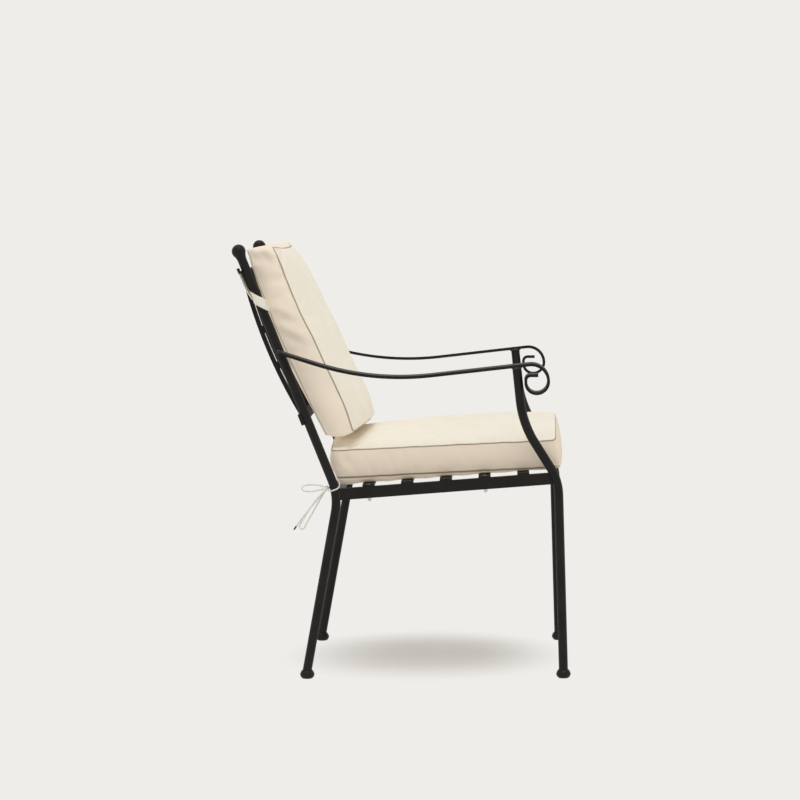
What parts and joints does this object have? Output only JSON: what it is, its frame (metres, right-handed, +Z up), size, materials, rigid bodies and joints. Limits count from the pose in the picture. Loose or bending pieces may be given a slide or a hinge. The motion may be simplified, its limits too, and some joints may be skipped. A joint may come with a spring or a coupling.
{
  "type": "carver chair",
  "caption": "Metal carver chair with scrolled arms, slatted seat, ball finials and bun feet, and boxed cream seat and back cushions tied to the frame.",
  "frame": {"origin": "on the floor, under the middle of the chair's width and depth", "axes": "+Z up, the chair faces -Y, +X is the sitter's left"},
  "size_m": [0.619, 0.7, 0.912],
  "materials": {
    "frame_paint": "satin",
    "zinc_plate": "satin",
    "cushion_cloth": "matte",
    "cushion_foam": "matte",
    "strap_cloth": "matte",
    "tie_cord": "matte"
  },
  "bodies": {
    "root": {"back_post_left": "frame_paint", "back_post_right": "frame_paint", "front_leg_left": "frame_paint", "front_leg_right": "frame_paint", "arm_left": "frame_paint", "arm_right": "frame_paint", "side_rail_left": "frame_paint", "side_rail_right": "frame_paint", "finial_left": "frame_paint", "finial_right": "frame_paint", "foot_front_left": "frame_paint", "foot_front_right": "frame_paint", "foot_rear_left": "frame_paint", "foot_rear_right": "frame_paint", "front_rail": "frame_paint", "rear_rail": "frame_paint", "back_top_rail": "frame_paint", "back_bottom_rail": "frame_paint", "back_cross_bar_upper": "frame_paint", "back_cross_bar_lower": "frame_paint", "seat_slat_1": "frame_paint", "seat_slat_2": "frame_paint", "seat_slat_3": "frame_paint", "seat_slat_4": "frame_paint", "seat_slat_5": "frame_paint", "back_upright_1": "frame_paint", "back_upright_2": "frame_paint", "back_upright_3": "frame_paint", "back_upright_4": "frame_paint", "back_upright_5": "frame_paint", "seat_bolts": "zinc_plate", "seat_nuts": "zinc_plate", "seat_cushion_cover": "cushion_cloth", "back_cushion_cover": "cushion_cloth", "seat_cushion_foam": "cushion_foam", "back_cushion_foam": "cushion_foam", "back_strap_left": "strap_cloth", "back_strap_right": "strap_cloth", "seat_tie_left": "tie_cord", "seat_tie_right": "tie_cord", "seat_tie_loop_left": "tie_cord", "seat_tie_loop_right": "tie_cord", "seat_tie_fold_left": "tie_cord", "seat_tie_fold_right": "tie_cord", "seat_tie_end_left": "tie_cord", "seat_tie_end_right": "tie_cord"}
  },
  "joints": []
}
